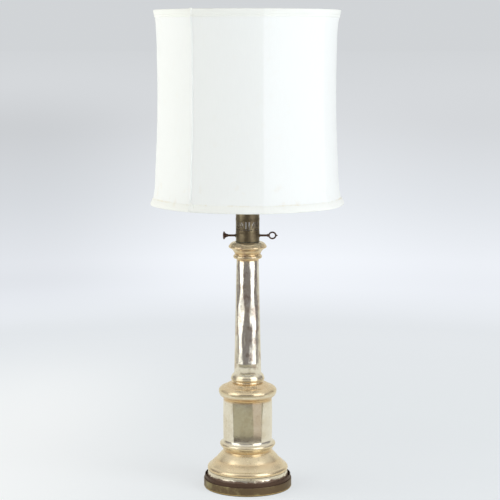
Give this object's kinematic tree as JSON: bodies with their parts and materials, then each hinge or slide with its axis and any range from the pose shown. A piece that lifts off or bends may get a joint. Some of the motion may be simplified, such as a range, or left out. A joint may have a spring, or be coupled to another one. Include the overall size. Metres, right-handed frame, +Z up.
{
  "type": "candlestick lamp",
  "caption": "Table lamp with a turned silvered-glass column on a bronze base ring, an oil-burner style collar with side keys, and a waisted panelled drum shade.",
  "frame": {"origin": "centre of the underside of the felt pad, on the surface the lamp stands on", "axes": "+Z up along the column, front towards -Y, cord inlet at +Y, wick key towards -X and ring key towards +X"},
  "size_m": [0.2994, 0.2994, 0.7486],
  "materials": {
    "felt": "dark felt",
    "aged_bronze": "aged dark bronze, satin",
    "zinc_steel": "zinc plated",
    "black_plastic": "matt",
    "grey_felt": "felt",
    "silvered_glass": "blown glass, silvered inside, antiqued",
    "brass_plain": "plain brass",
    "olive_bronze": "olive antique bronze, satin",
    "key_bronze": "antique bronze, satin",
    "antique_brass": "antique brass, satin",
    "card_insulator": "pressed fibre",
    "porcelain": "glazed",
    "nickel_plate": "nickel plate",
    "frosted_glass": "frosted inside",
    "white_wire": "white paint",
    "shade_linen": "white woven silk blend, translucent",
    "shade_lining_cloth": "white lining cloth",
    "shade_binding": "bound edge in the same cloth"
  },
  "bodies": {
    "stand": {"felt_pad": "felt", "base_ring": "aged_bronze", "base_plate": "zinc_steel", "cord_bushing": "black_plastic", "foot_gasket": "grey_felt", "glass_body": "silvered_glass", "lamp_pipe": "zinc_steel", "pipe_nuts": "brass_plain", "pipe_washers": "brass_plain", "top_gasket": "grey_felt", "glass_cap": "brass_plain", "key_sleeve": "olive_bronze", "pierced_gallery": "olive_bronze", "upper_sleeve": "olive_bronze", "burner_cap": "olive_bronze", "key_bushes": "olive_bronze", "harp_saddle": "antique_brass", "harp_bow": "antique_brass", "harp_stud": "antique_brass", "socket_cap": "antique_brass", "socket_shell": "antique_brass", "socket_liner": "card_insulator", "socket_block": "porcelain", "screw_shell": "brass_plain", "centre_contact": "brass_plain", "bulb_base": "nickel_plate", "bulb_glass": "frosted_glass"},
    "wick": {"wick_shaft": "key_bronze", "wick_knob": "key_bronze", "wick_collar": "brass_plain"},
    "winding": {"winding_shaft": "key_bronze", "winding_key": "key_bronze", "winding_collar": "brass_plain"},
    "switch": {"switch_shaft": "brass_plain", "switch_knob": "black_plastic"},
    "shade": {"shade_top_ring": "white_wire", "shade_bottom_ring": "white_wire", "shade_ribs": "white_wire", "spider_arms": "antique_brass", "spider_washer": "antique_brass", "shade_cover": "shade_linen", "shade_lining": "shade_lining_cloth", "shade_top_trim": "shade_binding", "shade_bottom_trim": "shade_binding"},
    "finial": {"finial": "antique_brass"},
    "sleeve_left": {"harp_sleeve_left": "antique_brass"},
    "sleeve_right": {"harp_sleeve_right": "antique_brass"}
  },
  "joints": [
    {"name": "wick_turn", "type": "hinge", "parent": "stand", "child": "wick", "pos_m": [0, 0, 0.4006], "axis": [1, 0, 0], "continuous": true},
    {"name": "winding_turn", "type": "hinge", "parent": "stand", "child": "winding", "pos_m": [0, 0, 0.4006], "axis": [1, 0, 0], "continuous": true},
    {"name": "switch_turn", "type": "hinge", "parent": "stand", "child": "switch", "pos_m": [0, 0, 0.4802], "axis": [0, -1, 0], "continuous": true},
    {"name": "shade_turn", "type": "hinge", "parent": "stand", "child": "shade", "pos_m": [0, 0, 0.7079], "axis": [0, 0, 1], "continuous": true},
    {"name": "finial_turn", "type": "hinge", "parent": "stand", "child": "finial", "pos_m": [0, 0, 0.7097], "axis": [0, 0, 1], "continuous": true},
    {"name": "sleeve_left_lift", "type": "slide", "parent": "stand", "child": "sleeve_left", "axis": [0, 0, 1], "range_m": [0, 0.01]},
    {"name": "sleeve_right_lift", "type": "slide", "parent": "stand", "child": "sleeve_right", "axis": [0, 0, 1], "range_m": [0, 0.01]}
  ]
}
